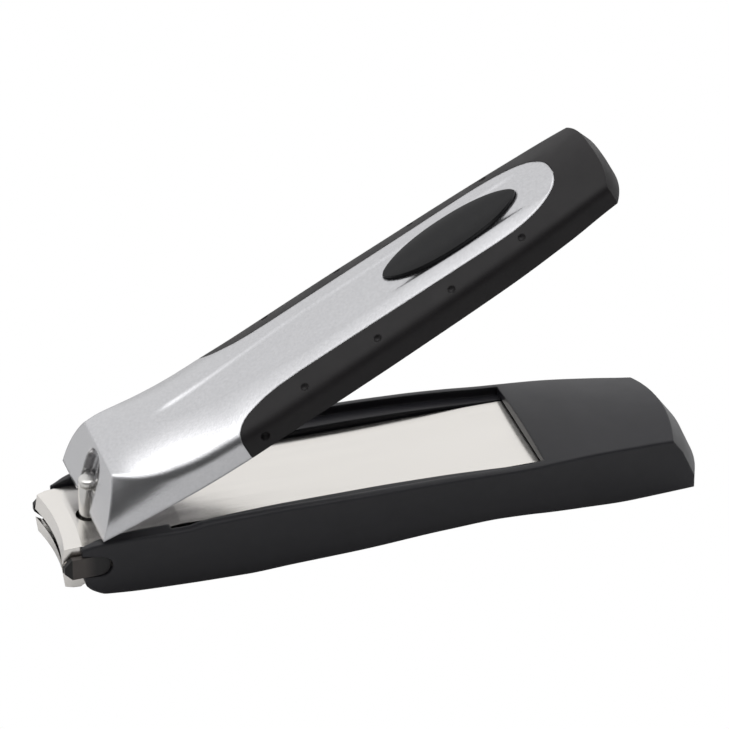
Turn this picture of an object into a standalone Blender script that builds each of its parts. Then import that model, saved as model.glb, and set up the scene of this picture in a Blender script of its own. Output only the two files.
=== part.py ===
"""Lever nail clipper with a catcher case, standing open as for use.

Lengths below are millimetres. "x" counts rearward from the cutting edges, y to the
right-hand side of somebody looking forward to back, z up from the table. The lever is
drawn in its own frame: u runs rearward along it, w points up out of its top face.
"""

from math import cos, pi, radians, sin, sqrt

import bpy
import bmesh
from mathutils import Vector

MM = 0.001
FRONT_X = -44.25                      # cutting edges, measured from the middle of the object

# Post and lever bearings
POST_X = 5.5
POST_RADIUS = 1.3
PIN_X, PIN_Z = 6.1, 12.3
PIN_RADIUS = 0.45
RUNNING_GAP = 0.05

# Lever frame
LEVER_X, LEVER_Z = 6.5, 11.0
LEVER_PITCH = radians(28.2)
WALL_FOOT = (-2.0, 0.03)              # front wall, lower edge (u, w)
WALL_TOP = (3.63, 5.78)               # front wall, upper edge (u, w)
WALL_LENGTH = 8.05
SLOT_HALF_WIDTH = 3.0
SLOT_TOP = 7.5                        # height of the arch, measured along the front wall

# Case
WINDOW_REAR = 64.3
POCKET_REAR = 74.5
POCKET_HALF_WIDTH = 8.0
BLOCK_CEILING = 9.2
POCKET_FLOOR = 3.1
FLOOR_TOP = 1.5
BASE_ROUND = 1.1                      # radius of the lower edges
RAIL_FRONT, RAIL_LOW, RAIL_TOP = 57.0, 5.1, 6.15
RIM_WIDTH, RIM_DEPTH = 1.05, 1.1      # width of the rim and depth of the ledge inside it
ABOVE = 20.0                          # well clear of the whole object
NOTCH_LOW, NOTCH_HIGH, NOTCH_REAR = 3.55, 6.85, 6.3
GUARD_INNER, GUARD_OUTER, GUARD_GAP = 7.32, 8.05, 0.15

# Blades
BLADE_REAR = 73.0
RIVET_X, RIVET_Y, RIVET_RADIUS = 69.5, 4.0, 1.2

# Lever grip
PANEL_HALF_WIDTH = 6.4
BADGE_FRONT, BADGE_REAR, BADGE_HALF_WIDTH = 46.4, 66.6, 3.45
BADGE_TOP = 4.12                      # height w of the badge's edge
SIDE_WALL, TOP_WALL = 1.15, 1.0
CHEEK_INNER, CHEEK_OUTER, NOSE_OUTER = 1.75, 4.3, 3.2
TOP_COLUMNS = 20
CROWN_POWER = 2.2                     # 2 would be a parabola across the top
SHOULDER = 0.5                        # share of the side's height taken by its rounded shoulder
SIDE_STEPS = 4

# Case stations: x, rim half-width, base half-width, base height, rim height, crown
CASE_STATIONS = [
    (2.4, 8.0, 7.7, 3.15, 8.1, 0.0),
    (3.2, 8.2, 7.75, 1.4, 8.35, 0.0),
    (4.2, 8.5, 7.85, 0.6, 8.7, 0.0),
    (5.6, 8.8, 8.0, 0.05, 9.0, 0.0),
    (10.0, 9.6, 8.5, 0.0, 9.5, 0.0),
    (16.2, 10.45, 8.9, 0.0, 9.9, 0.0),
    (18.2, 10.7, 9.0, 0.0, 10.4, 0.0),
    (24.0, 11.0, 9.2, 0.0, 10.75, 0.0),
    (30.0, 11.2, 9.4, 0.35, 10.9, 0.0),
    (41.0, 11.4, 9.6, 0.85, 10.9, 0.0),
    (51.0, 11.2, 9.5, 1.4, 10.7, 0.0),
    (57.0, 11.0, 9.3, 1.5, 10.4, 0.0),
    (63.0, 10.6, 9.0, 1.1, 10.05, 0.35),
    (66.0, 10.3, 8.9, 0.8, 10.0, 0.7),
    (70.0, 9.9, 8.7, 0.45, 9.9, 0.8),
    (78.0, 9.0, 8.4, 0.0, 9.3, 0.85),
    (82.0, 8.5, 8.2, 0.0, 8.9, 0.9),
    (92.0, 7.6, 7.6, 0.0, 7.9, 0.9),
]

# Lever stations: crease u, half-width, w; crown w; lower edge u, half-width, w
LEVER_STATIONS = [
    (3.63, 6.55, 5.78, 5.82, -2.0, 9.97, 0.03),
    (5.6, 7.8, 4.95, 5.75, 1.0, 10.05, -0.3),
    (8.0, 8.75, 3.94, 5.45, 5.0, 10.15, -0.65),
    (10.5, 9.35, 3.12, 5.1, 9.0, 10.2, -1.0),
    (14.0, 9.85, 2.35, 4.6, 13.5, 10.3, -1.25),
    (16.8, 10.0, 2.1, 4.3, 16.8, 10.35, -1.33),
    (19.8, 10.1, 2.0, 4.1, 19.8, 10.4, -1.35),
    (26.0, 10.2, 1.8, 4.0, 26.0, 10.4, -1.3),
    (39.0, 10.1, 1.9, 4.0, 39.0, 10.3, -1.3),
    (47.0, 9.9, 1.95, 4.0, 47.0, 10.1, -1.3),
    (59.0, 9.5, 2.1, 4.0, 59.0, 9.7, -1.25),
    (69.0, 8.9, 2.25, 3.95, 69.0, 9.0, -1.0),
    (75.0, 8.4, 2.35, 3.8, 75.0, 8.4, -0.65),
    (84.0, 7.4, 2.1, 3.4, 84.0, 7.5, -0.4),
]


def from_front(x, y, z):
    """Point measured from the cutting edges, in metres."""
    return Vector(((x + FRONT_X) * MM, y * MM, z * MM))


def from_lever(u, y, w):
    """Point given in the lever's own frame, in metres."""
    x = LEVER_X + u * cos(LEVER_PITCH) - w * sin(LEVER_PITCH)
    z = LEVER_Z + u * sin(LEVER_PITCH) + w * cos(LEVER_PITCH)
    return from_front(x, y, z)


def between(a, b, share):
    return a + (b - a) * share


def along(stations, position):
    """Station values interpolated at a position of the first column."""
    for low, high in zip(stations, stations[1:]):
        if low[0] <= position <= high[0]:
            share = (position - low[0]) / (high[0] - low[0])
            return [between(a, b, share) for a, b in zip(low, high)]
    return list(stations[-1] if position > stations[-1][0] else stations[0])


def material(name, colour, roughness, metallic):
    mat = bpy.data.materials.new(name)
    mat.use_nodes = True
    shader = mat.node_tree.nodes["Principled BSDF"]
    shader.inputs["Base Color"].default_value = (*colour, 1.0)
    shader.inputs["Roughness"].default_value = roughness
    shader.inputs["Metallic"].default_value = metallic
    return mat


def body(name, points, faces, smooth_degrees=None):
    """New object from points and faces, with its faces turned outward."""
    mesh = bpy.data.meshes.new(name)
    mesh.from_pydata([tuple(p) for p in points], [], faces)
    work = bmesh.new()
    work.from_mesh(mesh)
    bmesh.ops.recalc_face_normals(work, faces=work.faces)
    work.to_mesh(mesh)
    work.free()
    if smooth_degrees is not None:
        mesh.shade_smooth()
        mesh.set_sharp_from_angle(angle=radians(smooth_degrees))
    thing = bpy.data.objects.new(name, mesh)
    bpy.context.scene.collection.objects.link(thing)
    return thing


def loft(name, rings, smooth_degrees=None):
    """Closed body through rings that have the same number of points."""
    count = len(rings[0])
    points = [p for ring in rings for p in ring]
    faces = []
    for level in range(len(rings) - 1):
        for i in range(count):
            j = (i + 1) % count
            a = level * count
            b = a + count
            faces.append((a + i, a + j, b + j, b + i))
    faces.append(tuple(range(count)))
    faces.append(tuple(range((len(rings) - 1) * count, len(rings) * count)))
    return body(name, points, faces, smooth_degrees)


def prism(name, outline, low, high, place):
    """Outline of (a, b) pairs drawn from low to high; place turns (a, b, level) into a point."""
    rings = [[place(a, b, level) for a, b in outline] for level in (low, high)]
    return loft(name, rings)


def turned(name, profile, centre_x, centre_y=0.0, steps=40):
    """Round body about a vertical axis from (radius, z) pairs, bottom to top."""
    rings = []
    for radius, z in profile:
        ring = []
        for step in range(steps):
            angle = 2 * pi * step / steps
            ring.append(from_front(centre_x + radius * cos(angle),
                                   centre_y + radius * sin(angle), z))
        rings.append(ring)
    return loft(name, rings, 40)


def rod(name, x, z, radius, y_low, y_high, steps=24):
    """Round bar along y."""
    outline = [(x + radius * cos(2 * pi * i / steps), z + radius * sin(2 * pi * i / steps))
               for i in range(steps)]
    return prism(name, outline, y_low, y_high, lambda a, b, y: from_front(a, y, b))


def slab(name, stations, columns, set_back, smooth_degrees=None):
    """Plate through stations (x top, z top, x bottom, z bottom, half-width).

    set_back moves the middle of the first stations rearward, which hollows the front edge.
    """
    upper, lower = [], []
    for row, (x_top, z_top, x_low, z_low, half) in enumerate(stations):
        hollow = set_back[row] if row < len(set_back) else 0.0
        for column in range(columns + 1):
            across = -1 + 2 * column / columns
            shift = hollow * (1 - across * across)
            upper.append(from_front(x_top + shift, across * half, z_top))
            lower.append(from_front(x_low + shift, across * half, z_low))
    points = upper + lower
    return body(name, points, sheet_pair(len(stations), columns), smooth_degrees)


def sheet_pair(rows, columns):
    """Faces that close an upper and a lower grid of points into one body."""
    width = columns + 1
    under = rows * width
    faces = []
    for r in range(rows - 1):
        for c in range(columns):
            a = r * width + c
            faces.append((a, a + 1, a + 1 + width, a + width))
            faces.append((under + a, under + a + width, under + a + 1 + width, under + a + 1))
        for c in (0, columns):
            a = r * width + c
            faces.append((a, a + width, under + a + width, under + a))
    for r in (0, rows - 1):
        for c in range(columns):
            a = r * width + c
            faces.append((a, under + a, under + a + 1, a + 1))
    return faces


def boolean(target, tool, operation):
    """Keep the tool as a hidden cutter and combine it with the target."""
    tool.hide_render = True
    tool.display_type = "WIRE"
    change = target.modifiers.new(f"{operation.lower()} {tool.name}", "BOOLEAN")
    change.operation = operation
    change.solver = "EXACT"
    change.object = tool


# ---------------------------------------------------------------- case

def case_ring(x, half, base_half, base, rim, crown):
    """One cross-section of the case, counter-clockwise from the lower left."""
    ring = [(-base_half + BASE_ROUND, base), (base_half - BASE_ROUND, base), (base_half - 0.35, base + 0.3),
            (base_half, base + 1.0), (half, rim - 0.35), (half - 0.12, rim - 0.1)]
    steps = 12
    edge = half - 0.4
    for step in range(steps + 1):
        y = edge - 2 * edge * step / steps
        ring.append((y, rim + crown * (1 - (y / edge) ** 2)))
    ring += [(-half + 0.12, rim - 0.1), (-half, rim - 0.35),
             (-base_half, base + 1.0), (-base_half + 0.35, base + 0.3)]
    return [from_front(x, y, z) for y, z in ring]


def rear_trim():
    """Everything in front of the rounded, sloping rear end."""
    levels = [(-4.0, 88.5, 2.1), (2.4, 88.5, 2.1), (6.5, 86.7, 2.0), (10.4, 83.9, 1.8), (15.0, 81.0, 1.6)]
    rings = []
    for z, middle, rounding in levels:
        ring = [from_front(-20, -14, z)]
        for step in range(25):
            y = -14 + 28 * step / 24
            ring.append(from_front(middle - rounding * (y / 8.2) ** 2, y, z))
        ring.append(from_front(-20, 14, z))
        rings.append(ring)
    return loft("rear_trim", rings)


def window_pocket():
    """Space for the blades and the clippings, open at the top and the front."""
    stations = [(-5, 7.45, FLOOR_TOP), (6, 7.45, FLOOR_TOP), (14, 8.0, FLOOR_TOP),
                (30, 8.0, 1.9), (42, 8.0, 2.3), (54, 8.0, 2.9), (WINDOW_REAR, 8.0, 2.9)]
    rings = [[from_front(x, -half, floor), from_front(x, half, floor),
              from_front(x, half, ABOVE), from_front(x, -half, ABOVE)]
             for x, half, floor in stations]
    return loft("window_pocket", rings)


def rim_recess():
    """Step inside the rim that leaves a narrow ledge beside the blade."""
    rings = []
    for x in (14, 18.2, 24, 30, 41, 51, 57, WINDOW_REAR + 0.4):
        _, half, _, _, rim, _ = along(CASE_STATIONS, x)
        inner, ledge = half - RIM_WIDTH, rim - RIM_DEPTH
        rings.append([from_front(x, -inner, ledge), from_front(x, inner, ledge),
                      from_front(x, inner, ABOVE), from_front(x, -inner, ABOVE)])
    return loft("rim_recess", rings)


def rear_pocket():
    """Closed space in the rear block that holds the tail of the blades."""
    half, floor = POCKET_HALF_WIDTH - 0.05, POCKET_FLOOR
    rings = [[from_front(x, -half, floor), from_front(x, half, floor),
              from_front(x, half, BLOCK_CEILING), from_front(x, -half, BLOCK_CEILING)]
             for x in (WINDOW_REAR - 2.0, POCKET_REAR)]
    return loft("rear_pocket", rings)


def guard_notches():
    """C-shaped notch through both side walls at the front."""
    middle = (NOTCH_LOW + NOTCH_HIGH) / 2
    radius = (NOTCH_HIGH - NOTCH_LOW) / 2
    outline = [(-3, NOTCH_LOW)]
    for step in range(13):
        angle = -pi / 2 + pi * step / 12
        outline.append((NOTCH_REAR - radius + radius * cos(angle), middle + radius * sin(angle)))
    outline.append((-3, NOTCH_HIGH))
    return prism("guard_notches", outline, -14, 14, lambda a, b, y: from_front(a, y, b))


def blade_rail(side):
    """Rail on the inside of the case wall that carries the tail of the lower blade."""
    outline = [(RAIL_FRONT, RAIL_LOW), (POCKET_REAR + 0.5, RAIL_LOW),
               (POCKET_REAR + 0.5, RAIL_TOP), (RAIL_FRONT, RAIL_TOP)]
    low, high = sorted((side * 7.0, side * 8.4))
    return prism(f"rail_{'right' if side > 0 else 'left'}", outline, low, high,
                 lambda a, b, y: from_front(a, y, b))


def case_shell():
    shell = loft("case_shell", [case_ring(*station) for station in CASE_STATIONS], 28)
    boolean(shell, rear_trim(), "INTERSECT")
    boolean(shell, window_pocket(), "DIFFERENCE")
    boolean(shell, rim_recess(), "DIFFERENCE")
    boolean(shell, rear_pocket(), "DIFFERENCE")
    boolean(shell, guard_notches(), "DIFFERENCE")
    for side in (-1, 1):
        boolean(shell, blade_rail(side), "UNION")
    shell.data.materials.append(material("case_plastic", (0.035, 0.035, 0.04), 0.35, 0.0))
    return shell


def side_guard(side):
    """Plastic tab that closes the gap between the jaws on one side."""
    low, high = NOTCH_LOW + GUARD_GAP, NOTCH_HIGH - GUARD_GAP
    middle = (low + high) / 2
    radius = (high - low) / 2
    outline = [(0.0, middle - 0.45), (1.0, low)]
    for step in range(9):
        angle = -pi / 2 + pi * step / 8
        outline.append((NOTCH_REAR - GUARD_GAP - radius + radius * cos(angle),
                        middle + radius * sin(angle)))
    outline += [(1.0, high), (0.0, middle + 0.45)]
    name = f"side_guard_{'right' if side > 0 else 'left'}"
    inner, outer = sorted((side * GUARD_INNER, side * GUARD_OUTER))
    guard = prism(name, outline, inner, outer, lambda a, b, y: from_front(a, y, b))
    guard.data.materials.append(material(name, (0.16, 0.14, 0.13), 0.5, 0.0))
    return guard


# ---------------------------------------------------------------- blades

def polished_steel(name):
    return material(name, (0.82, 0.8, 0.77), 0.2, 1.0)


def post_hole(radius):
    return turned(f"post_hole_{round(radius * 100)}", [(radius, -4), (radius, 20)], POST_X)


def drill_rivet_holes(blade, radius):
    for side in (-1, 1):
        hole = turned(f"{blade.name}_rivet_hole_{'right' if side > 0 else 'left'}",
                      [(radius, 4), (radius, 12)], RIVET_X, side * RIVET_Y)
        boolean(blade, hole, "DIFFERENCE")


def upper_blade():
    stations = [(0.3, 7.65, 0.0, 5.5, 6.75), (1.4, 7.9, 0.8, 6.15, 6.95),
                (2.6, 7.95, 2.2, 6.35, 7.05), (4.2, 7.9, 4.2, 6.42, 7.1),
                (9.0, 8.0, 9.0, 6.8, 7.1), (13.0, 8.52, 13.0, 7.32, 7.15),
                (16.0, 8.9, 16.0, 7.7, 7.2), (27.0, 8.9, 27.0, 7.7, 7.7),
                (BLADE_REAR, 8.9, BLADE_REAR, 7.7, 7.7)]
    blade = slab("upper_blade", stations, 16, (0.75, 0.7, 0.5), 25)
    boolean(blade, post_hole(1.75), "DIFFERENCE")
    drill_rivet_holes(blade, RIVET_RADIUS + 0.12)
    blade.data.materials.append(polished_steel("upper_blade_steel"))
    return blade


def lower_blade():
    stations = [(0.0, 4.3, 0.3, 2.0, 6.75), (0.9, 3.65, 1.3, 1.8, 6.95),
                (2.2, 3.55, 2.3, 1.8, 7.05), (3.3, 3.56, 3.3, 2.5, 7.1), (9.0, 3.7, 9.0, 2.6, 7.1),
                (16.0, 4.3, 16.0, 3.15, 7.2), (27.0, 5.17, 27.0, 4.02, 7.6),
                (56.0, 7.45, 56.0, 6.3, 7.6), (BLADE_REAR, 7.45, BLADE_REAR, 6.3, 7.6)]
    blade = slab("lower_blade", stations, 16, (0.75, 0.65, 0.4), 25)
    boolean(blade, post_hole(POST_RADIUS + 0.07), "DIFFERENCE")
    drill_rivet_holes(blade, RIVET_RADIUS + 0.05)
    blade.data.materials.append(polished_steel("lower_blade_steel"))
    return blade


def rear_rivet(side):
    """Rivet that joins the two blades, under the rear block of the case."""
    name = f"rear_rivet_{'right' if side > 0 else 'left'}"
    profile = [(1.7, 5.75), (2.0, 6.0), (2.0, 6.22), (RIVET_RADIUS, 6.22),
               (RIVET_RADIUS, 8.7), (1.0, 8.85)]
    rivet = turned(name, profile, RIVET_X, side * RIVET_Y, 24)
    rivet.data.materials.append(material(name, (0.7, 0.7, 0.7), 0.35, 1.0))
    return rivet


# ---------------------------------------------------------------- post and pin

def pin_notch():
    """Slot across the post that the cross pin lies in, open to the rear."""
    reach = PIN_RADIUS + RUNNING_GAP
    outline = [(PIN_X + 3, PIN_Z + reach), (PIN_X, PIN_Z + reach)]
    for step in range(1, 16):
        angle = pi / 2 + pi * step / 16
        outline.append((PIN_X + reach * cos(angle), PIN_Z + reach * sin(angle)))
    outline += [(PIN_X, PIN_Z - reach), (PIN_X + 3, PIN_Z - reach)]
    return prism("pin_notch", outline, -3, 3, lambda a, b, y: from_front(a, y, b))


def pivot_post():
    neck = POST_RADIUS - 0.3
    profile = [(1.9, 1.62), (2.2, 1.8), (2.2, 2.35), (POST_RADIUS, 2.35), (POST_RADIUS, 12.5),
               (neck, 12.6), (neck, 12.85), (POST_RADIUS, 12.95), (POST_RADIUS, 13.3),
               (1.15, 13.48), (0.8, 13.58)]
    post = turned("pivot_post", profile, POST_X)
    boolean(post, pin_notch(), "DIFFERENCE")
    post.data.materials.append(material("post_steel", (0.75, 0.74, 0.72), 0.25, 1.0))
    return post


def cross_pin():
    pin = rod("cross_pin", PIN_X, PIN_Z, PIN_RADIUS, -3.95, 3.95)
    pin.data.materials.append(material("pin_steel", (0.7, 0.7, 0.7), 0.3, 1.0))
    return pin


# ---------------------------------------------------------------- lever

def dish_depth(u, y):
    """Shallow hollow along the middle of the lever, from a rounded front end."""
    reach = max(0.0, u - 10.5)
    half = 3.6 * min(1.0, sqrt(reach / 22.0))
    if half < 0.3:
        return 0.0
    share = min(1.0, max(0.0, (half + 0.5 - abs(y)) / 1.0))
    fade = min(1.0, reach / 4.0) * min(1.0, max(0.0, (72.0 - u) / 5.0))
    return 0.28 * share * share * (3 - 2 * share) * fade


def crown_height(u, y):
    """Height w of the lever's top face."""
    _, half, crease, crown, _, _, _ = along(LEVER_STATIONS, u)
    share = min(1.0, abs(y) / half)
    return crown - (crown - crease) * share ** CROWN_POWER - dish_depth(u, y)


def side_point(crease, foot, share):
    """Point (u, y, w) on the lever's side, which leaves the crease outward and ends upright."""
    shoulder = (between(crease[0], foot[0], SHOULDER), foot[1], between(crease[2], foot[2], SHOULDER))
    return [between(between(a, b, share), between(b, c, share), share)
            for a, b, c in zip(crease, shoulder, foot)]


def lever_ring(u):
    """Cross-section of the full lever, with its lower corners at the station's lower edge."""
    _, half, crease, _, foot_u, foot_half, foot = along(LEVER_STATIONS, u)
    ring = []
    for column in range(TOP_COLUMNS + 1):
        y = half * (1 - 2 * column / TOP_COLUMNS)
        ring.append(from_lever(u, y, crown_height(u, y)))
    side = [side_point((u, half, crease), (foot_u, foot_half, foot), step / SIDE_STEPS)
            for step in range(1, SIDE_STEPS + 1)]
    ring += [from_lever(a, -y, w) for a, y, w in side]
    ring += [from_lever(a, y, w) for a, y, w in reversed(side)]
    return ring


def lever_outside(name):
    """Full outer shape of metal and grip together, without the rear end."""
    positions = [3.63, 4.6, 5.6, 6.8, 8.0, 9.2, 10.5, 11.6, 12.8, 14.0, 15.4, 16.8, 18.3, 19.8,
                 22.5, 26.0, 30.0, 34.5, 39.0, 43.0, 47.0, 53.0, 59.0, 64.0, 69.0, 75.0, 84.0]
    shape = loft(name, [lever_ring(u) for u in positions], 32)
    boolean(shape, tail_trim(name), "INTERSECT")
    return shape


def tail_trim(name):
    """Everything in front of the lever's rounded, slanting rear end."""
    rings = []
    for w, middle in ((-6, 78.8), (1.5, 78.8), (8, 76.5)):
        ring = [from_lever(-30, -16, w)]
        for step in range(33):
            y = -16 + 32 * step / 32
            ring.append(from_lever(middle - 1.8 * (abs(y) / 8.0) ** 3, y, w))
        ring.append(from_lever(-30, 16, w))
        rings.append(ring)
    return loft(f"{name}_tail_trim", rings)


def lever_hollow():
    """Open space under the lever, one wall thickness inside its outer shape."""
    depth = -8.0
    rings = []
    for u in (4.35, 5.6, 8.0, 10.5, 14.0, 19.8, 26.0, 39.0, 47.0, 59.0, 69.0, 74.5, 76.6):
        _, half, crease, crown, foot_u, foot_half, _ = along(LEVER_STATIONS, u)
        slant = (foot_u - u) / (crease + 1.3) if u < 16 else 0.0
        low_u = u + slant * (crease - depth)
        if u < 4.4:
            low_u = u - (4.75 - depth) * (WALL_TOP[0] - WALL_FOOT[0]) / (WALL_TOP[1] - WALL_FOOT[1])
        ring = []
        inner = half - SIDE_WALL
        for column in range(11):
            y = inner * (1 - 2 * column / 10)
            ring.append(from_lever(u, y, crown_height(u, y) - TOP_WALL))
        ring.append(from_lever(low_u, -foot_half + SIDE_WALL, depth))
        ring.append(from_lever(low_u, foot_half - SIDE_WALL, depth))
        rings.append(ring)
    return loft("lever_hollow", rings)


def panel_outline(offset):
    """Plan (u, y) of the bare metal: the whole front, then a tongue with a round end."""
    half = PANEL_HALF_WIDTH - offset
    side = [(19.6 - offset, 14.0), (19.8 - offset, 10.6), (20.2 - offset, 9.6),
            (21.2 - offset, 8.4), (22.8 - offset, 7.5), (24.6 - offset, half), (42.0, half),
            (60.0, half - 0.1), (64.5, half - 0.45), (68.0, half - 1.1)]
    for step in range(1, 8):
        angle = pi / 2 * step / 8
        side.append((68.0 + (4.1 - offset) * sin(angle), (half - 1.1) * cos(angle) ** 0.8))
    tip = [(72.1 - offset, 0.0)]
    mirrored = [(u, -y) for u, y in reversed(side)]
    return [(-20.0, 14.0)] + side + tip + mirrored + [(-20.0, -14.0)]


def panel_prism(name, offset):
    return prism(name, panel_outline(offset), -20, 20, from_lever)


def front_slot():
    """Arched slot in the front wall that the post stands and turns in."""
    length_u = (WALL_TOP[0] - WALL_FOOT[0]) / WALL_LENGTH
    length_w = (WALL_TOP[1] - WALL_FOOT[1]) / WALL_LENGTH

    def on_wall(height, y, depth):
        u = WALL_FOOT[0] + length_u * height + length_w * depth
        w = WALL_FOOT[1] + length_w * height - length_u * depth
        return from_lever(u, y, w)

    outline = [(-6.0, -SLOT_HALF_WIDTH)]
    for step in range(17):
        angle = -pi / 2 + pi * step / 16
        outline.append((SLOT_TOP - SLOT_HALF_WIDTH + SLOT_HALF_WIDTH * cos(angle),
                        SLOT_HALF_WIDTH * sin(angle)))
    outline.append((-6.0, SLOT_HALF_WIDTH))
    return prism("front_slot", outline, -4.0, 1.5, on_wall)


def bearing_cheek(side):
    """Plate behind the front wall that holds one end of the cross pin."""
    outline = [(-1.0, -0.8), (3.2, -0.8), (5.4, 4.9), (3.6, 4.9), (2.6, 4.2)]
    low, high = sorted((side * CHEEK_INNER, side * CHEEK_OUTER))
    return prism(f"cheek_{'right' if side > 0 else 'left'}", outline, low, high,
                 lambda u, w, y: from_lever(u, y, w))


def press_nose(side):
    """Rounded lug that pushes the upper blade down when the lever is pressed."""
    centre_u, centre_w, radius = 1.93, -3.18, 0.9
    outline = []
    for step in range(13):
        angle = -pi + pi * 1.1 * step / 12
        outline.append((centre_u + radius * cos(angle), centre_w + radius * sin(angle)))
    outline += [(4.4, 0.0), (4.4, 3.0), (1.3, 3.0)]
    low, high = sorted((side * CHEEK_INNER, side * NOSE_OUTER))
    return prism(f"nose_{'right' if side > 0 else 'left'}", outline, low, high,
                 lambda u, w, y: from_lever(u, y, w))


def lever_body():
    """Sheet-metal lever with its front wall, bearing cheeks and press noses."""
    lever = lever_outside("lever_body")
    boolean(lever, lever_hollow(), "DIFFERENCE")
    boolean(lever, panel_prism("panel_plan", 0.06), "INTERSECT")
    for side in (-1, 1):
        boolean(lever, bearing_cheek(side), "UNION")
        boolean(lever, press_nose(side), "UNION")
    boolean(lever, front_slot(), "DIFFERENCE")
    pin_hole = rod("pin_hole", PIN_X, PIN_Z, PIN_RADIUS + RUNNING_GAP, -4.05, 4.05)
    boolean(lever, pin_hole, "DIFFERENCE")
    boolean(lever, badge_shape("badge_recess", 0.08, 3.3, 6.0), "DIFFERENCE")
    lever.data.materials.append(material("satin_steel", (0.68, 0.69, 0.71), 0.35, 1.0))
    return lever


def dimples():
    """Grip dots along both top edges, and one on each side face."""
    spots = [(30.4, 8.9), (41.6, 8.75), (52.9, 8.6), (64.0, 7.8), (22.8, 10.3)]
    radius = 0.62
    work = bmesh.new()
    for u, half in spots:
        for side in (-1, 1):
            w = 0.4 if half > 10 else crown_height(u, half) + 0.3
            spot = from_lever(u, side * half, w)
            made = bmesh.ops.create_icosphere(work, subdivisions=2, radius=radius * MM)
            bmesh.ops.translate(work, verts=made["verts"], vec=spot)
    mesh = bpy.data.meshes.new("dimples")
    work.to_mesh(mesh)
    work.free()
    thing = bpy.data.objects.new("dimples", mesh)
    bpy.context.scene.collection.objects.link(thing)
    return thing


def lever_grip():
    """Moulded frame around the sides and the rear of the lever."""
    grip = lever_outside("lever_grip")
    boolean(grip, bpy.data.objects["lever_hollow"], "DIFFERENCE")
    boolean(grip, panel_prism("panel_opening", 0.0), "DIFFERENCE")
    boolean(grip, dimples(), "DIFFERENCE")
    grip.data.materials.append(material("grip_plastic", (0.03, 0.03, 0.032), 0.5, 0.0))
    return grip


def badge_shape(name, offset, low, top):
    """Pointed oval from height w = low up to w = top, or to its own dome when top is None."""
    rows, columns = 25, 8
    upper, lower = [], []
    for row in range(rows):
        reach = -1 + 2 * row / (rows - 1)
        middle = (BADGE_FRONT + BADGE_REAR) / 2
        u = middle + reach * ((BADGE_REAR - BADGE_FRONT) / 2 + offset)
        half = BADGE_HALF_WIDTH * (1 - abs(reach) ** 2.2) ** 0.65 + 0.06 + offset
        for column in range(columns + 1):
            y = half * (-1 + 2 * column / columns)
            dome = 0.16 * (1 - reach * reach) * (1 - (y / half) ** 4)
            height = top if top else BADGE_TOP + dome
            upper.append(from_lever(u, y, height))
            lower.append(from_lever(u, y, low))
    return body(name, upper + lower, sheet_pair(rows, columns), 40)


def badge():
    plate = badge_shape("badge", 0.0, 3.38, None)
    plate.data.materials.append(material("badge_plastic", (0.02, 0.02, 0.022), 0.12, 0.0))
    return plate


def nail_file():
    """File plate let into the underside of the lever."""
    half, front, rear = 8.0, 26.0, 70.0
    outline = [(front + 1.0, -half), (rear - 2.0, -half + 0.9), (rear, -half + 2.6),
               (rear, half - 2.6), (rear - 2.0, half - 0.9), (front + 1.0, half),
               (front, half - 1.0), (front, -half + 1.0)]
    plate = prism("nail_file", outline, 0.2, 1.0, from_lever)
    plate.data.materials.append(material("file_steel", (0.6, 0.6, 0.6), 0.55, 1.0))
    return plate


def main():
    for thing in list(bpy.data.objects):
        bpy.data.objects.remove(thing)
    case_shell()
    for side in (-1, 1):
        side_guard(side)
        rear_rivet(side)
    lower_blade()
    upper_blade()
    pivot_post()
    cross_pin()
    lever_body()
    lever_grip()
    badge()
    nail_file()


main()
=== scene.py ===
"""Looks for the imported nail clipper: smooth shells, satin metal and moulded plastic.

Lengths are millimetres, turned into metres by from_front and from_lever. "x" counts
rearward from the cutting edges; the lever's own frame is u along it and w out of its top.
"""

from math import cos, pi, radians, sin, sqrt

import bpy
import bmesh
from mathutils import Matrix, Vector


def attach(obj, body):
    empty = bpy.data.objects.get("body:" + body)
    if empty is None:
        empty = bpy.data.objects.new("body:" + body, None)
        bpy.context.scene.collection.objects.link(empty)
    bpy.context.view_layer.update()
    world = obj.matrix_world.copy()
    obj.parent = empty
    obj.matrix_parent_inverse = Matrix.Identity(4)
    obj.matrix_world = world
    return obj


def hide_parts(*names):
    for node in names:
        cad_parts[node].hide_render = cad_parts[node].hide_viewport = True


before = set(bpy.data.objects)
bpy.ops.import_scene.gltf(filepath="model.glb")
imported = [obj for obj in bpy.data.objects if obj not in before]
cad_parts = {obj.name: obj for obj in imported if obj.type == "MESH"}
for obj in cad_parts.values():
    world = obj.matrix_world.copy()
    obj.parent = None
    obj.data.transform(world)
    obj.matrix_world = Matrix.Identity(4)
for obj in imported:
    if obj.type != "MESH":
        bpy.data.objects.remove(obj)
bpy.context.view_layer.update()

MM = 0.001
FRONT_X = -44.25                      # place of the cutting edges along the frame
BEYOND = 20.0                         # far enough for a cutting tool to leave the part

# Case
BASE_ROUND = 1.1                      # corner between its side and its base
RIM_ROUND, RIM_DROP, RIM_EDGE = 0.35, 0.4, 0.42
RIM_WIDTH, RIM_DEPTH = 1.05, 1.1
REAR_END = 88.5
WINDOW_HALF_WIDTH, MOUTH_HALF_WIDTH, WINDOW_REAR = 8.0, 7.45, 64.3
FLOOR_TOP = 1.5
POCKET_HALF_WIDTH, POCKET_FLOOR, POCKET_REAR = 7.95, 3.1, 74.5
BLOCK_CEILING = 9.2
NOTCH_LOW, NOTCH_HIGH, NOTCH_REAR = 3.55, 6.85, 6.3

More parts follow.
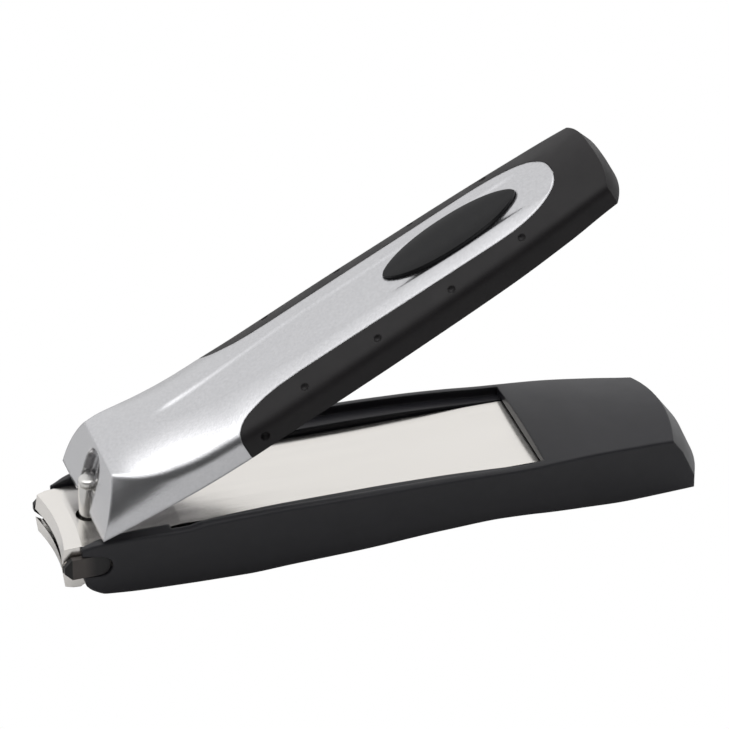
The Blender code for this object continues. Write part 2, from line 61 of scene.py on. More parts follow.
# Lever: its frame, its front wall as (u, w), the slot in that wall and the cross pin
LEVER_X, LEVER_Z = 6.5, 11.0
LEVER_PITCH = radians(28.2)
WALL_FOOT = (-2.0, 0.03)
WALL_TOP = (3.63, 5.78)
WALL_LENGTH = 8.05
SLOT_HALF_WIDTH, SLOT_TOP = 3.0, 7.5
PIN_X, PIN_Z, PIN_HOLE_RADIUS = 6.1, 12.3, 0.5
SIDE_WALL, TOP_WALL = 1.15, 1.0
CHEEK_INNER, CHEEK_OUTER, NOSE_OUTER = 1.75, 4.3, 3.2
CROWN_POWER = 2.2
SHOULDER = 0.5                        # share of the lever's side taken by its rounded shoulder
CREASE_FRONT, CREASE_GAIN, CREASE_RUN = 0.15, 0.95, 7.0
DISH_FRONT, DISH_REAR, DISH_HALF_WIDTH, DISH_DEPTH = 10.5, 72.0, 3.6, 0.28

# Bare metal panel and badge
PANEL_HALF_WIDTH, PANEL_STRAIGHT_END, PANEL_END_LENGTH, PANEL_POWER = 6.4, 60.0, 12.1, 2.4
PANEL_GAP = 0.06
BADGE_FRONT, BADGE_REAR, BADGE_HALF_WIDTH = 46.4, 66.6, 3.45
BADGE_UNDERSIDE, BADGE_TOP, BADGE_DOME = 3.38, 4.12, 0.16
RECESS_FLOOR, RECESS_GAP = 3.3, 0.08

# Case: x, rim half-width, base half-width, base height, rim height, crown
CASE_STATIONS = [
    (2.4, 8.0, 7.7, 3.15, 8.1, 0.0), (3.2, 8.2, 7.75, 1.4, 8.35, 0.0),
    (4.2, 8.5, 7.85, 0.6, 8.7, 0.0), (5.6, 8.8, 8.0, 0.05, 9.0, 0.0),
    (10.0, 9.6, 8.5, 0.0, 9.5, 0.0), (16.2, 10.45, 8.9, 0.0, 9.9, 0.0),
    (18.2, 10.7, 9.0, 0.0, 10.4, 0.0), (24.0, 11.0, 9.2, 0.0, 10.75, 0.0),
    (30.0, 11.2, 9.4, 0.35, 10.9, 0.0), (41.0, 11.4, 9.6, 0.85, 10.9, 0.0),
    (51.0, 11.2, 9.5, 1.4, 10.7, 0.0), (57.0, 11.0, 9.3, 1.5, 10.4, 0.0),
    (63.0, 10.6, 9.0, 1.1, 10.05, 0.35), (66.0, 10.3, 8.9, 0.8, 10.0, 0.7),
    (70.0, 9.9, 8.7, 0.45, 9.9, 0.8), (78.0, 9.0, 8.4, 0.0, 9.3, 0.85),
    (82.0, 8.5, 8.2, 0.0, 8.9, 0.9), (92.0, 7.6, 7.6, 0.0, 7.9, 0.9)]

# Lever: crease u, half-width, w; crown w; lower edge u, half-width, w
LEVER_STATIONS = [
    (3.63, 6.55, 5.78, 5.82, -2.0, 9.97, 0.03), (5.6, 7.8, 4.95, 5.75, 1.0, 10.05, -0.3),
    (8.0, 8.75, 3.94, 5.45, 5.0, 10.15, -0.65), (10.5, 9.35, 3.12, 5.1, 9.0, 10.2, -1.0),
    (14.0, 9.85, 2.35, 4.6, 13.5, 10.3, -1.25), (16.8, 10.0, 2.1, 4.3, 16.8, 10.35, -1.33),
    (19.8, 10.1, 2.0, 4.1, 19.8, 10.4, -1.35), (26.0, 10.2, 1.8, 4.0, 26.0, 10.4, -1.3),
    (39.0, 10.1, 1.9, 4.0, 39.0, 10.3, -1.3), (47.0, 9.9, 1.95, 4.0, 47.0, 10.1, -1.3),
    (59.0, 9.5, 2.1, 4.0, 59.0, 9.7, -1.25), (69.0, 8.9, 2.25, 3.95, 69.0, 9.0, -1.0),
    (75.0, 8.4, 2.35, 3.8, 75.0, 8.4, -0.65), (84.0, 7.4, 2.1, 3.4, 84.0, 7.5, -0.4)]


# ---------------------------------------------------------------- shapes

def from_front(x, y, z):
    """Point on the frame for a place counted from the cutting edges."""
    return Vector(((x + FRONT_X) * MM, y * MM, z * MM))


def from_lever(u, y, w):
    """Point on the frame for a place in the lever's own frame."""
    x = LEVER_X + u * cos(LEVER_PITCH) - w * sin(LEVER_PITCH)
    z = LEVER_Z + u * sin(LEVER_PITCH) + w * cos(LEVER_PITCH)
    return from_front(x, y, z)


def slope(stations, i, column):
    """Slope of one column at a station, never steep enough to overshoot."""
    if i == 0 or i == len(stations) - 1:
        j = max(i, 1)
        return (stations[j][column] - stations[j - 1][column]) / (stations[j][0] - stations[j - 1][0])
    before = (stations[i][column] - stations[i - 1][column]) / (stations[i][0] - stations[i - 1][0])
    after = (stations[i + 1][column] - stations[i][column]) / (stations[i + 1][0] - stations[i][0])
    if before * after <= 0:
        return 0.0
    return 2 * before * after / (before + after)


def along(stations, position):
    """Station values on a smooth curve through the stations."""
    position = min(max(position, stations[0][0]), stations[-1][0])
    i = next(k for k in range(len(stations) - 1) if position <= stations[k + 1][0])
    low, high = stations[i], stations[i + 1]
    span = high[0] - low[0]
    t = (position - low[0]) / span
    values = [position]
    for column in range(1, len(low)):
        m0, m1 = slope(stations, i, column) * span, slope(stations, i + 1, column) * span
        values.append((2 * t**3 - 3 * t**2 + 1) * low[column] + (t**3 - 2 * t**2 + t) * m0
                      + (3 * t**2 - 2 * t**3) * high[column] + (t**3 - t**2) * m1)
    return values


def spread(low, high, steps):
    """Evenly spaced values from low to high, both included."""
    return [low + (high - low) * i / steps for i in range(steps + 1)]


def body(name, points, faces):
    """New object from points and faces, with its faces turned outward."""
    mesh = bpy.data.meshes.new(name)
    mesh.from_pydata([tuple(p) for p in points], [], faces)
    work = bmesh.new()
    work.from_mesh(mesh)
    bmesh.ops.recalc_face_normals(work, faces=work.faces)
    work.to_mesh(mesh)
    work.free()
    thing = bpy.data.objects.new(name, mesh)
    bpy.context.scene.collection.objects.link(thing)
    return thing


def loft(name, rings):
    """Closed body through rings of equal point count."""
    count = len(rings[0])
    points = [p for ring in rings for p in ring]
    faces = []
    for level in range(len(rings) - 1):
        for i in range(count):
            j = (i + 1) % count
            a, b = level * count, (level + 1) * count
            faces.append((a + i, a + j, b + j, b + i))
    faces.append(tuple(range(count)))
    faces.append(tuple(range((len(rings) - 1) * count, len(rings) * count)))
    return body(name, points, faces)


def prism(name, outline, low, high, place):
    """Outline pulled from one level to another; place turns (a, b, level) into a point."""
    return loft(name, [[place(a, b, level) for a, b in outline] for level in (low, high)])


def rod(name, x, z, radius, y_low, y_high, steps=32):
    """Round bar across the clipper."""
    outline = [(x + radius * cos(2 * pi * i / steps), z + radius * sin(2 * pi * i / steps))
               for i in range(steps)]
    return prism(name, outline, y_low, y_high, lambda a, b, y: from_front(a, y, b))


def sheet_pair(rows, columns):
    """Faces of a plate whose top and underside are grids with the same rows and columns."""
    width = columns + 1
    under = rows * width
    faces = []
    for r in range(rows - 1):
        for c in range(columns):
            a = r * width + c
            faces.append((a, a + 1, a + 1 + width, a + width))
            faces.append((under + a, under + a + width, under + a + 1 + width, under + a + 1))
        for c in (0, columns):
            a = r * width + c
            faces.append((a, a + width, under + a + width, under + a))
    for r in (0, rows - 1):
        for c in range(columns):
            a = r * width + c
            faces.append((a, under + a, under + a + 1, a + 1))
    return faces


def combine(target, tool, operation):
    """Apply a Boolean at once and throw the tool away."""
    change = target.modifiers.new(operation, "BOOLEAN")
    change.operation = operation
    change.solver = "EXACT"
    change.object = tool
    bpy.context.view_layer.update()
    graph = bpy.context.evaluated_depsgraph_get()
    made = bpy.data.meshes.new_from_object(target.evaluated_get(graph))
    target.modifiers.clear()
    work = bmesh.new()
    work.from_mesh(made)
    bmesh.ops.remove_doubles(work, verts=work.verts, dist=0.001 * MM)
    bmesh.ops.recalc_face_normals(work, faces=work.faces)
    work.to_mesh(made)
    work.free()
    target.data = made
    bpy.data.objects.remove(tool)


def finish_piece(piece, body_name, node, mat, sharp=35):
    """Shade the piece, give it its material and put it on its body in place of a CAD node."""
    piece.data.materials.clear()
    piece.data.materials.append(mat)
    for face in piece.data.polygons:
        face.material_index = 0
    piece.data.shade_smooth()
    piece.data.set_sharp_from_angle(angle=radians(sharp))
    weighted = piece.modifiers.new("normals", "WEIGHTED_NORMAL")
    weighted.keep_sharp = True
    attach(piece, body_name)
    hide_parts(node)


# ---------------------------------------------------------------- case

def case_ring(x):
    """Cross-section of the case with rounded rim and base corners."""
    _, half, base_half, base, rim, crown = along(CASE_STATIONS, x)
    ring = [(-base_half + BASE_ROUND, base), (base_half - BASE_ROUND, base)]
    for angle in spread(0.0, pi / 2, 6)[1:-1]:
        ring.append((base_half - BASE_ROUND + BASE_ROUND * sin(angle),
                     base + BASE_ROUND - BASE_ROUND * cos(angle)))
    for share in spread(0.0, 1.0, 5):
        ring.append((base_half + (half - base_half) * share ** 0.8,
                     base + BASE_ROUND + (rim - RIM_DROP - base - BASE_ROUND) * share))
    for angle in spread(0.0, pi / 2, 4)[1:-1]:
        ring.append((half - RIM_ROUND + RIM_ROUND * cos(angle),
                     rim - RIM_DROP + RIM_ROUND * sin(angle)))
    edge = half - RIM_EDGE
    for y in spread(edge, 0.0, 12):
        ring.append((y, rim + crown * (1 - (y / edge) ** 2)))
    mirrored = [(-y, z) for y, z in reversed(ring[2:-1])]
    return [from_front(x, y, z) for y, z in ring + mirrored]


def rear_trim():
    """Keeps what is in front of the case's rear face, which leans forward and is rounded in plan."""
    levels = [(-4.0, REAR_END, 2.1), (2.4, REAR_END, 2.1), (6.5, 86.7, 2.0), (10.4, 83.9, 1.8),
              (15.0, 81.0, 1.6)]
    rings = []
    for z, middle, rounding in levels:
        ring = [from_front(-BEYOND, -14, z)]
        for y in spread(-14, 14, 56):
            ring.append(from_front(middle - rounding * (y / 8.2) ** 2, y, z))
        ring.append(from_front(-BEYOND, 14, z))
        rings.append(ring)
    return loft("rear_trim", rings)


def box_ring(x, half, low, high):
    """Upright rectangle across the case at x."""
    return [from_front(x, -half, low), from_front(x, half, low),
            from_front(x, half, high), from_front(x, -half, high)]


def window_pocket():
    """Open space in the case, from its mouth to the rear block, over a floor that rises rearward."""
    stations = [(-5, MOUTH_HALF_WIDTH, FLOOR_TOP), (6, MOUTH_HALF_WIDTH, FLOOR_TOP),
                (14, WINDOW_HALF_WIDTH, FLOOR_TOP), (30, WINDOW_HALF_WIDTH, 1.9),
                (42, WINDOW_HALF_WIDTH, 2.3), (54, WINDOW_HALF_WIDTH, 2.9),
                (WINDOW_REAR, WINDOW_HALF_WIDTH, 2.9)]
    return loft("window_pocket", [box_ring(x, half, level, BEYOND) for x, half, level in stations])


def rim_recess():
    """Wider opening at the top of the case, which leaves a thin rim."""
    rings = []
    for x in spread(14.0, WINDOW_REAR + 0.4, 40):
        _, half, _, _, rim, _ = along(CASE_STATIONS, x)
        rings.append(box_ring(x, half - RIM_WIDTH, rim - RIM_DEPTH, BEYOND))
    return loft("rim_recess", rings)


def rear_pocket():
    """Space under the rear block for the tail of the blades."""
    return loft("rear_pocket", [box_ring(x, POCKET_HALF_WIDTH, POCKET_FLOOR, BLOCK_CEILING)
                                for x in (WINDOW_REAR - 2.0, POCKET_REAR)])


def guard_notches():
    """Round-ended notches in both sides of the mouth, for the tabs."""
    middle, radius = (NOTCH_LOW + NOTCH_HIGH) / 2, (NOTCH_HIGH - NOTCH_LOW) / 2
    outline = [(-3, NOTCH_LOW)]
    for angle in spread(-pi / 2, pi / 2, 20):
        outline.append((NOTCH_REAR - radius + radius * cos(angle), middle + radius * sin(angle)))
    outline.append((-3, NOTCH_HIGH))
    return prism("guard_notches", outline, -14, 14, lambda a, b, y: from_front(a, y, b))


def case_piece(mat):
    """Catcher case with its window, rear block and notches."""
    positions = spread(2.4, 6.0, 10)[:-1] + spread(6.0, 92.0, 110)
    case = loft("case", [case_ring(x) for x in positions])
    combine(case, rear_trim(), "INTERSECT")
    combine(case, window_pocket(), "DIFFERENCE")
    combine(case, rim_recess(), "DIFFERENCE")
    combine(case, rear_pocket(), "DIFFERENCE")
    combine(case, guard_notches(), "DIFFERENCE")
    finish_piece(case, "case", "case_shell", mat, 30)


# ---------------------------------------------------------------- lever

def dish_depth(u, y):
    """Shallow hollow along the middle of the lever, from a rounded front end."""
    reach = max(0.0, u - DISH_FRONT)
    half = DISH_HALF_WIDTH * min(1.0, sqrt(reach / 22.0))
    if half < 0.3:
        return 0.0
    share = min(1.0, max(0.0, (half + 0.5 - abs(y)) / 1.0))
    fade = min(1.0, reach / 4.0) * min(1.0, max(0.0, (DISH_REAR - u) / 5.0))
    return DISH_DEPTH * share * share * (3 - 2 * share) * fade


def crown_height(u, y):
    """Height w of the lever's top."""
    _, half, crease, crown, _, _, _ = along(LEVER_STATIONS, u)
    share = min(1.0, abs(y) / half)
    return crown - (crown - crease) * share ** CROWN_POWER - dish_depth(u, y)


def bend(start, corner, end, share):
    """Point on the curve that leaves start toward the corner and arrives at end from it."""
    return [(1 - share) ** 2 * a + 2 * share * (1 - share) * b + share ** 2 * c
            for a, b, c in zip(start, corner, end)]


def side_point(crease, foot, share):
    """Point (u, y, w) on the lever's side, which leaves the crease outward and ends upright."""
    shoulder = (crease[0] + (foot[0] - crease[0]) * SHOULDER, foot[1],
                crease[2] + (foot[2] - crease[2]) * SHOULDER)
    return bend(crease, shoulder, foot, share)


def lever_ring(u):
    """Cross-section of the lever, with a crease that is rounder away from the front corners."""
    _, half, height, _, foot_u, foot_half, foot_w = along(LEVER_STATIONS, u)
    crease, foot = (u, half, height), (foot_u, foot_half, foot_w)
    reach = CREASE_FRONT + CREASE_GAIN * min(1.0, (u - WALL_TOP[0]) / CREASE_RUN)
    flat = half - reach
    used = reach / (height - foot_w)
    ring = [from_lever(u, y, crown_height(u, y)) for y in spread(flat, -flat, 64)]
    side = [bend((u, flat, crown_height(u, flat)), crease, side_point(crease, foot, used), share)
            for share in spread(0.0, 1.0, 7)[1:]]
    side += [side_point(crease, foot, share) for share in spread(used, 1.0, 10)[1:]]
    ring += [from_lever(a, -y, w) for a, y, w in side]
    ring += [from_lever(a, y, w) for a, y, w in reversed(side)]
    return ring


def tail_trim():
    """Keeps what is in front of the lever's tail end."""
    rings = []
    for w, middle in ((-6, 78.65), (1.5, 78.65), (8, 76.35)):
        ring = [from_lever(-30, -16, w)]
        for y in spread(-16, 16, 64):
            ring.append(from_lever(middle - 1.8 * (abs(y) / 8.0) ** 3, y, w))
        ring.append(from_lever(-30, 16, w))
        rings.append(ring)
    return loft("tail_trim", rings)


def lever_outside(name):
    """Outer shape of metal and grip together."""
    positions = spread(WALL_TOP[0], 21.0, 40)[:-1] + spread(21.0, 84.0, 80)
    shape = loft(name, [lever_ring(u) for u in positions])
    combine(shape, tail_trim(), "INTERSECT")
    return shape


def lever_hollow():
    """Space under the lever, one wall inside the outer shape."""
    depth = -8.0
    wall_run = (WALL_TOP[0] - WALL_FOOT[0]) / (WALL_TOP[1] - WALL_FOOT[1])
    rings = []
    for u in (4.35, 5.6, 8.0, 10.5, 14.0, 19.8, 26.0, 39.0, 47.0, 59.0, 69.0, 74.5, 76.6):
        _, half, crease, _, foot_u, foot_half, _ = along(LEVER_STATIONS, u)
        slant = (foot_u - u) / (crease + 1.3) if u < 16 else 0.0
        low_u = u + slant * (crease - depth)
        if u < 4.4:
            low_u = u - (4.75 - depth) * wall_run
        inner = half - SIDE_WALL
        ring = [from_lever(u, y, crown_height(u, y) - TOP_WALL) for y in spread(inner, -inner, 20)]
        ring.append(from_lever(low_u, -foot_half + SIDE_WALL, depth))
        ring.append(from_lever(low_u, foot_half - SIDE_WALL, depth))
        rings.append(ring)
    return loft("lever_hollow", rings)


def panel_outline(offset):
    """Plan (u, y) of the bare metal: the whole front, then a tongue with a round end."""
    half = PANEL_HALF_WIDTH - offset
    side = [(19.6 - offset, 14.0), (19.7 - offset, 11.0), (19.9 - offset, 10.2), (20.3 - offset, 9.4),
            (20.9 - offset, 8.7), (21.7 - offset, 8.1), (22.6 - offset, 7.65), (23.8 - offset, 7.25),
            (25.4 - offset, 6.85 - offset), (27.6 - offset, 6.55 - offset), (31.0, half), (45.0, half)]
    for angle in spread(0.0, pi / 2, 24):
        reach = sin(angle)
        side.append((PANEL_STRAIGHT_END + (PANEL_END_LENGTH - offset) * reach,
                     half * (1 - reach ** PANEL_POWER) ** (1 / PANEL_POWER)))
    mirrored = [(u, -y) for u, y in reversed(side[:-1])]
    return [(-BEYOND, 14.0)] + side + mirrored + [(-BEYOND, -14.0)]


def panel_column(name, offset):
    """Body over the whole plan of the bare metal, drawn in by offset."""
    return prism(name, panel_outline(offset), -BEYOND, BEYOND, from_lever)


def front_slot():
    """Slot for the post, open at the foot of the front wall and round at its top."""
    length_u = (WALL_TOP[0] - WALL_FOOT[0]) / WALL_LENGTH
    length_w = (WALL_TOP[1] - WALL_FOOT[1]) / WALL_LENGTH

    def on_wall(height, y, depth):
        return from_lever(WALL_FOOT[0] + length_u * height + length_w * depth, y,
                          WALL_FOOT[1] + length_w * height - length_u * depth)

    outline = [(-6.0, -SLOT_HALF_WIDTH)]
    for angle in spread(-pi / 2, pi / 2, 32):
        outline.append((SLOT_TOP - SLOT_HALF_WIDTH + SLOT_HALF_WIDTH * cos(angle),
                        SLOT_HALF_WIDTH * sin(angle)))
    outline.append((-6.0, SLOT_HALF_WIDTH))
    return prism("front_slot", outline, -4.0, 1.5, on_wall)


def lever_side_plate(name, outline, side, outer):
    """Plate under the lever, on the near or the far side of the post."""
    low, high = sorted((side * CHEEK_INNER, side * outer))
    return prism(name, outline, low, high, lambda u, w, y: from_lever(u, y, w))


def press_nose_outline():
    """Side view of the round nose that presses the upper blade."""
    centre_u, centre_w, radius = 1.93, -3.18, 0.9
    outline = [(centre_u + radius * cos(angle), centre_w + radius * sin(angle))
               for angle in spread(-pi, pi * 0.1, 20)]
    return outline + [(4.4, 0.0), (4.4, 3.0), (1.3, 3.0)]


def badge_shape(name, offset, low, top=None):
    """Oval plate on the lever, domed unless it is given a flat top."""
    rows, columns = 61, 16
    upper, lower = [], []
    for reach in spread(-1.0, 1.0, rows - 1):
        u = (BADGE_FRONT + BADGE_REAR) / 2 + reach * ((BADGE_REAR - BADGE_FRONT) / 2 + offset)
        half = BADGE_HALF_WIDTH * (1 - abs(reach) ** 2.2) ** 0.65 + 0.06 + offset
        for y in spread(-half, half, columns):
            dome = BADGE_DOME * (1 - reach * reach) * (1 - (y / half) ** 4)
            upper.append(from_lever(u, y, top if top else BADGE_TOP + dome))
            lower.append(from_lever(u, y, low))
    return body(name, upper + lower, sheet_pair(rows, columns))


def lever_piece(mat):
    """Metal part of the lever, with its cheeks, noses, slot and pin hole."""
    lever = lever_outside("lever")
    combine(lever, lever_hollow(), "DIFFERENCE")
    combine(lever, panel_column("panel", PANEL_GAP), "INTERSECT")
    cheek = [(-1.0, -0.8), (3.2, -0.8), (5.4, 4.9), (3.6, 4.9), (2.6, 4.2)]
    for side in (-1, 1):
        combine(lever, lever_side_plate("cheek", cheek, side, CHEEK_OUTER), "UNION")
        combine(lever, lever_side_plate("nose", press_nose_outline(), side, NOSE_OUTER), "UNION")
    combine(lever, front_slot(), "DIFFERENCE")
    combine(lever, rod("pin_hole", PIN_X, PIN_Z, PIN_HOLE_RADIUS, -4.05, 4.05), "DIFFERENCE")
    combine(lever, badge_shape("badge_recess", RECESS_GAP, RECESS_FLOOR, 6.0), "DIFFERENCE")
    finish_piece(lever, "lever", "lever_body", mat, 32)


def dimples():
    """Balls that leave small round dents in the grip, five on each side."""
    work = bmesh.new()
    for u, half in [(30.4, 8.9), (41.6, 8.75), (52.9, 8.6), (64.0, 7.8), (22.8, 10.3)]:
        for side in (-1, 1):
            w = 0.4 if half > 10 else crown_height(u, half) + 0.3
            made = bmesh.ops.create_icosphere(work, subdivisions=3, radius=0.62 * MM)
            bmesh.ops.translate(work, verts=made["verts"], vec=from_lever(u, side * half, w))
    mesh = bpy.data.meshes.new("dimples")
    work.to_mesh(mesh)
    work.free()
    thing = bpy.data.objects.new("dimples", mesh)
    bpy.context.scene.collection.objects.link(thing)
    return thing


def grip_piece(mat):
    """Moulded grip: the lever's outside less the bare metal and the dents."""
    grip = lever_outside("grip")
    combine(grip, lever_hollow(), "DIFFERENCE")
    combine(grip, panel_column("panel_opening", 0.0), "DIFFERENCE")
    combine(grip, dimples(), "DIFFERENCE")
    finish_piece(grip, "lever", "lever_grip", mat, 32)


def badge_piece(mat):
    """Oval badge in its recess on the metal."""
    plate = badge_shape("badge_plate", 0.0, BADGE_UNDERSIDE)
    finish_piece(plate, "lever", "badge", mat, 50)


# ---------------------------------------------------------------- materials

class Recipe:
    """A material under construction: a Principled shader and the nodes that feed it."""

    def __init__(self, name, colour, roughness, metallic=0.0, specular=0.5):
        self.material = bpy.data.materials.new(name)
        self.material.use_nodes = True
        self.nodes = self.material.node_tree.nodes
        self.links = self.material.node_tree.links
        self.shader = self.nodes["Principled BSDF"]
        self.shader.inputs["Base Color"].default_value = (*colour, 1.0)
        self.shader.inputs["Roughness"].default_value = roughness
        self.shader.inputs["Metallic"].default_value = metallic
        self.shader.inputs["Specular IOR Level"].default_value = specular
        self.place = self.nodes.new("ShaderNodeTexCoord").outputs["Object"]
        self.normal = None

    def scaled(self, stretch):
        """Object coordinates multiplied along each axis."""
        mapping = self.nodes.new("ShaderNodeMapping")
        mapping.inputs["Scale"].default_value = stretch
        self.links.new(self.place, mapping.inputs["Vector"])
        return mapping.outputs["Vector"]

    def noise(self, scale, stretch=(1, 1, 1), detail=3.0):
        node = self.nodes.new("ShaderNodeTexNoise")
        node.inputs["Scale"].default_value = scale
        node.inputs["Detail"].default_value = detail
        self.links.new(self.scaled(stretch), node.inputs["Vector"])
        return node.outputs["Fac"]

    def remap(self, value, low, high):
        """Noise, which stays near its middle, widened to run from low to high."""
        node = self.nodes.new("ShaderNodeMapRange")
        node.inputs["To Min"].default_value = low
        node.inputs["To Max"].default_value = high
        node.inputs["From Min"].default_value = 0.25
        node.inputs["From Max"].default_value = 0.75
        self.links.new(value, node.inputs["Value"])
        return node.outputs["Result"]

    def vary_roughness(self, value, low, high):
        self.links.new(self.remap(value, low, high), self.shader.inputs["Roughness"])

    def vary_colour(self, value, dark, light):
        mix = self.nodes.new("ShaderNodeMix")
        mix.data_type = "RGBA"
        mix.inputs["A"].default_value = (*dark, 1.0)
        mix.inputs["B"].default_value = (*light, 1.0)
        self.links.new(value, mix.inputs["Factor"])
        self.links.new(mix.outputs["Result"], self.shader.inputs["Base Color"])

    def round_edges(self, radius):
        """Shade sharp edges as if they had this radius in millimetres."""
        node = self.nodes.new("ShaderNodeBevel")
        node.samples = 4
        node.inputs["Radius"].default_value = radius * MM
        self.normal = node.outputs["Normal"]
        self.links.new(self.normal, self.shader.inputs["Normal"])

    def bump(self, height, strength, distance):
        node = self.nodes.new("ShaderNodeBump")
        node.inputs["Strength"].default_value = strength
        node.inputs["Distance"].default_value = distance * MM
        self.links.new(height, node.inputs["Height"])
        if self.normal:
            self.links.new(self.normal, node.inputs["Normal"])
        self.normal = node.outputs["Normal"]
        self.links.new(self.normal, self.shader.inputs["Normal"])


def satin_silver():
    """Bead-blasted metal with a fine even grain."""
    made = Recipe("satin_silver", (0.70, 0.71, 0.73), 0.24, 1.0)
    made.round_edges(0.5)
    grain = made.noise(5200.0, detail=2.0)
    made.bump(grain, 0.6, 0.02)
    made.vary_roughness(made.noise(240.0), 0.20, 0.27)
    made.vary_colour(made.noise(2600.0), (0.62, 0.62, 0.64), (0.77, 0.77, 0.79))
    return made.material


def case_plastic():
    """Dark plastic with a slight sheen."""
    made = Recipe("case_plastic", (0.018, 0.017, 0.022), 0.36, specular=0.45)
    made.round_edges(0.45)
    made.bump(made.noise(3000.0), 0.12, 0.02)
    made.vary_roughness(made.noise(180.0), 0.30, 0.42)
    made.vary_colour(made.noise(420.0), (0.014, 0.014, 0.018), (0.022, 0.021, 0.026))
    return made.material


def grip_plastic():
    """Black moulded plastic, duller than the case."""
    made = Recipe("grip_plastic", (0.015, 0.014, 0.015), 0.42, specular=0.27)
    made.round_edges(0.25)
    made.bump(made.noise(4200.0), 0.25, 0.02)
    made.vary_roughness(made.noise(260.0), 0.40, 0.52)
    made.vary_colour(made.noise(500.0), (0.012, 0.011, 0.012), (0.019, 0.017, 0.018))
    return made.material


def blade_steel():
    """Pale ground steel with its grain along the blade."""
    made = Recipe("blade_steel", (0.86, 0.84, 0.80), 0.2, 1.0)
    made.round_edges(0.1)
    made.bump(made.noise(1600.0, (0.06, 1.0, 1.0)), 0.08, 0.01)
    made.vary_roughness(made.noise(900.0, (0.08, 1.0, 1.0)), 0.14, 0.26)
    made.vary_colour(made.noise(300.0, (0.2, 1.0, 1.0)), (0.93, 0.90, 0.86), (0.98, 0.95, 0.91))
    return made.material


def turned_steel():
    """Steel of the post, the pin and the rivets."""
    made = Recipe("turned_steel", (0.78, 0.77, 0.75), 0.22, 1.0)
    made.round_edges(0.08)
    made.bump(made.noise(900.0, (1.0, 1.0, 6.0)), 0.1, 0.01)
    made.vary_roughness(made.noise(500.0), 0.16, 0.3)
    return made.material


def badge_gloss():
    """Smooth black plastic."""
    made = Recipe("badge_gloss", (0.01, 0.01, 0.011), 0.14, specular=0.22)
    made.round_edges(0.2)
    made.vary_roughness(made.noise(300.0), 0.12, 0.2)
    made.vary_colour(made.noise(900.0), (0.008, 0.008, 0.009), (0.014, 0.014, 0.015))
    return made.material


def guard_plastic():
    """Brown-grey tab with a black front tip, and painted shade that darkens it again where it enters
    the case.
    """
    made = Recipe("guard_plastic", (0.085, 0.074, 0.068), 0.45)
    made.round_edges(0.1)
    split = made.nodes.new("ShaderNodeSeparateXYZ")
    made.links.new(made.place, split.inputs["Vector"])
    reach = made.nodes.new("ShaderNodeMapRange")
    reach.inputs["From Min"].default_value = FRONT_X * MM
    reach.inputs["From Max"].default_value = (NOTCH_REAR + FRONT_X) * MM
    made.links.new(split.outputs["X"], reach.inputs["Value"])
    ramp = made.nodes.new("ShaderNodeValToRGB")
    # the dark stop is painted shade: it darkens the tab's rear where it enters the case
    black, grey, dark = (0.006, 0.006, 0.006, 1), (0.085, 0.074, 0.068, 1), (0.016, 0.015, 0.016, 1)
    stops = ramp.color_ramp.elements
    stops[0].position, stops[0].color = 0.15, black
    stops[1].position, stops[1].color = 0.18, grey
    for position, colour in ((0.42, grey), (0.68, dark)):
        stops.new(position).color = colour
    made.links.new(reach.outputs["Result"], ramp.inputs["Fac"])
    made.links.new(ramp.outputs["Color"], made.shader.inputs["Base Color"])
    made.bump(made.noise(2500.0), 0.2, 0.02)
    made.vary_roughness(made.noise(300.0), 0.4, 0.52)
    return made.material


def file_steel():
    """Steel with the crossed cuts of a nail file."""
    made = Recipe("file_steel", (0.62, 0.62, 0.61), 0.4, 1.0)
    heights = []
    for turn in (radians(38), radians(-38)):
        wave = made.nodes.new("ShaderNodeTexWave")
        wave.wave_profile = "SAW"
        wave.inputs["Scale"].default_value = 520.0
        wave.inputs["Distortion"].default_value = 0.3
        mapping = made.nodes.new("ShaderNodeMapping")
        mapping.inputs["Rotation"].default_value = (0, 0, turn)
        made.links.new(made.place, mapping.inputs["Vector"])
        made.links.new(mapping.outputs["Vector"], wave.inputs["Vector"])
        heights.append(wave.outputs["Fac"])
    both = made.nodes.new("ShaderNodeMath")
    both.operation = "MULTIPLY"
    made.links.new(heights[0], both.inputs[0])
    made.links.new(heights[1], both.inputs[1])
    made.bump(both.outputs["Value"], 0.8, 0.15)
    made.vary_roughness(made.noise(400.0), 0.3, 0.5)
    return made.material


# ---------------------------------------------------------------- stage

def floor():
    """Pale ground that reads as white to the camera but throws back only a little light."""
    mesh = bpy.data.meshes.new("floor")
    side = 3.0
    mesh.from_pydata([(-side, -side, 0), (side, -side, 0), (side, side, 0), (-side, side, 0)], [],
                     [(0, 1, 2, 3)])
    ground = bpy.data.objects.new("floor", mesh)
    bpy.context.scene.collection.objects.link(ground)
    made = Recipe("floor_white", (0.66, 0.66, 0.66), 0.9)
    made.vary_roughness(made.noise(20.0), 0.85, 0.95)
    ray = made.nodes.new("ShaderNodeLightPath")
    glow = made.nodes.new("ShaderNodeEmission")
    blend = made.nodes.new("ShaderNodeMixShader")
    made.links.new(ray.outputs["Is Camera Ray"], blend.inputs["Fac"])
    made.links.new(made.shader.outputs["BSDF"], blend.inputs[1])
    made.links.new(glow.outputs["Emission"], blend.inputs[2])
    made.links.new(blend.outputs["Shader"], made.nodes["Material Output"].inputs["Surface"])
    mesh.materials.append(made.material)


def overhead_light():
    """Large square lamp above the clipper, aimed at the middle of the frame."""
    data = bpy.data.lights.new("overhead", "AREA")
    data.shape = "RECTANGLE"
    data.size = 0.9
    data.size_y = 0.9
    data.energy = 1.7
    light = bpy.data.objects.new("overhead", data)
    light.location = (-0.1, -0.05, 0.9)
    light.rotation_euler = (-light.location).to_track_quat("-Z", "Y").to_euler()
    bpy.context.scene.collection.objects.link(light)


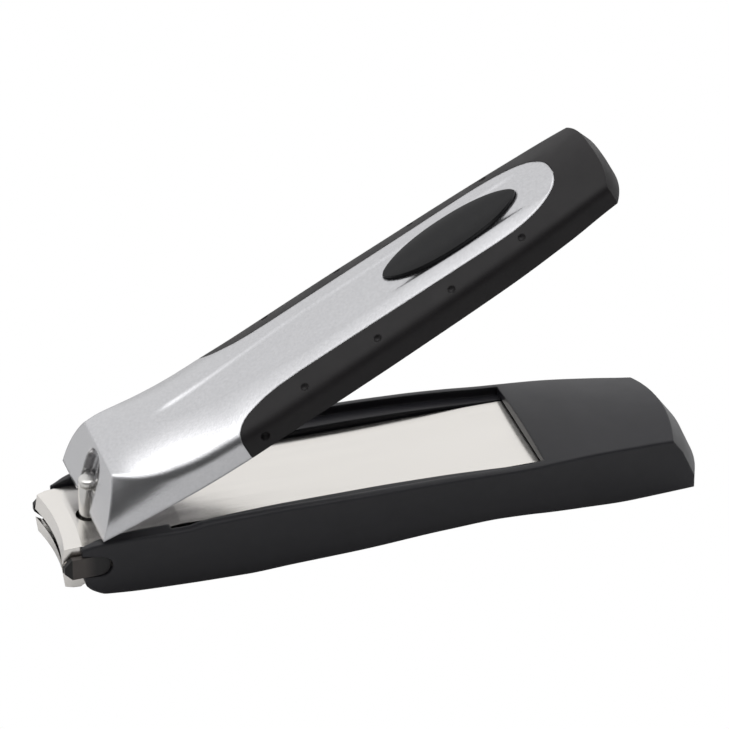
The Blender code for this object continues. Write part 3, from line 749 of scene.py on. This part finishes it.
def smooth_ramp(tree, value, start, end, low, high):
    """Smooth change from low to high as the value goes from start to end."""
    node = tree.nodes.new("ShaderNodeMapRange")
    node.interpolation_type = "SMOOTHSTEP"
    for name, number in (("From Min", start), ("From Max", end), ("To Min", low), ("To Max", high)):
        node.inputs[name].default_value = number
    tree.links.new(value, node.inputs["Value"])
    return node.outputs["Result"]


def studio():
    """Bright from above and behind, dim from the camera's side, white where it is seen directly."""
    bpy.context.scene.view_settings.view_transform = "Standard"
    world = bpy.data.worlds.new("studio")
    bpy.context.scene.world = world
    world.use_nodes = True
    nodes, links = world.node_tree.nodes, world.node_tree.links
    place = nodes.new("ShaderNodeTexCoord").outputs["Generated"]
    split = nodes.new("ShaderNodeSeparateXYZ")
    links.new(place, split.inputs["Vector"])
    depth = smooth_ramp(world.node_tree, split.outputs["Y"], -0.75, 0.35, 0.09, 0.80)
    height = smooth_ramp(world.node_tree, split.outputs["Z"], 0.7, 0.95, 0.0, 0.7)
    level = nodes.new("ShaderNodeMath")
    level.operation = "ADD"
    links.new(depth, level.inputs[0])
    links.new(height, level.inputs[1])
    ray = nodes.new("ShaderNodeLightPath")
    pick = nodes.new("ShaderNodeMix")
    links.new(ray.outputs["Is Camera Ray"], pick.inputs["Factor"])
    links.new(level.outputs["Value"], pick.inputs["A"])
    pick.inputs["B"].default_value = 1.0
    sky = nodes["Background"]
    sky.inputs["Color"].default_value = (1.0, 1.0, 1.0, 1.0)
    links.new(pick.outputs["Result"], sky.inputs["Strength"])
    overhead_light()


def camera():
    """Camera at the photograph's angle."""
    azimuth, elevation, distance = radians(-17.94), radians(32.33), 0.68364
    target = Vector((-0.00122, 0.0, 0.02349))
    back = Vector((sin(azimuth) * cos(elevation), -cos(azimuth) * cos(elevation), sin(elevation)))
    data = bpy.data.cameras.new("camera")
    data.sensor_width = 36.0
    data.lens = 259.95
    data.clip_start = 0.01
    eye = bpy.data.objects.new("camera", data)
    eye.location = target + back * distance
    eye.rotation_euler = (pi / 2 - elevation, 0.0, azimuth)
    bpy.context.scene.collection.objects.link(eye)
    bpy.context.scene.camera = eye


def dress_nodes():
    """Give the CAD nodes that stay their finished materials."""
    blade = blade_steel()
    round_steel = turned_steel()
    finishes = {"upper_blade": blade, "lower_blade": blade, "rear_rivet_left": round_steel,
                "rear_rivet_right": round_steel, "pivot_post": round_steel, "cross_pin": round_steel,
                "side_guard_left": guard_plastic(), "nail_file": file_steel()}
    finishes["side_guard_right"] = finishes["side_guard_left"]
    for node, mat in finishes.items():
        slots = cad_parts[node].data.materials
        slots.clear()
        slots.append(mat)


camera()
studio()
floor()
case_piece(case_plastic())
lever_piece(satin_silver())
grip_piece(grip_plastic())
badge_piece(badge_gloss())
dress_nodes()
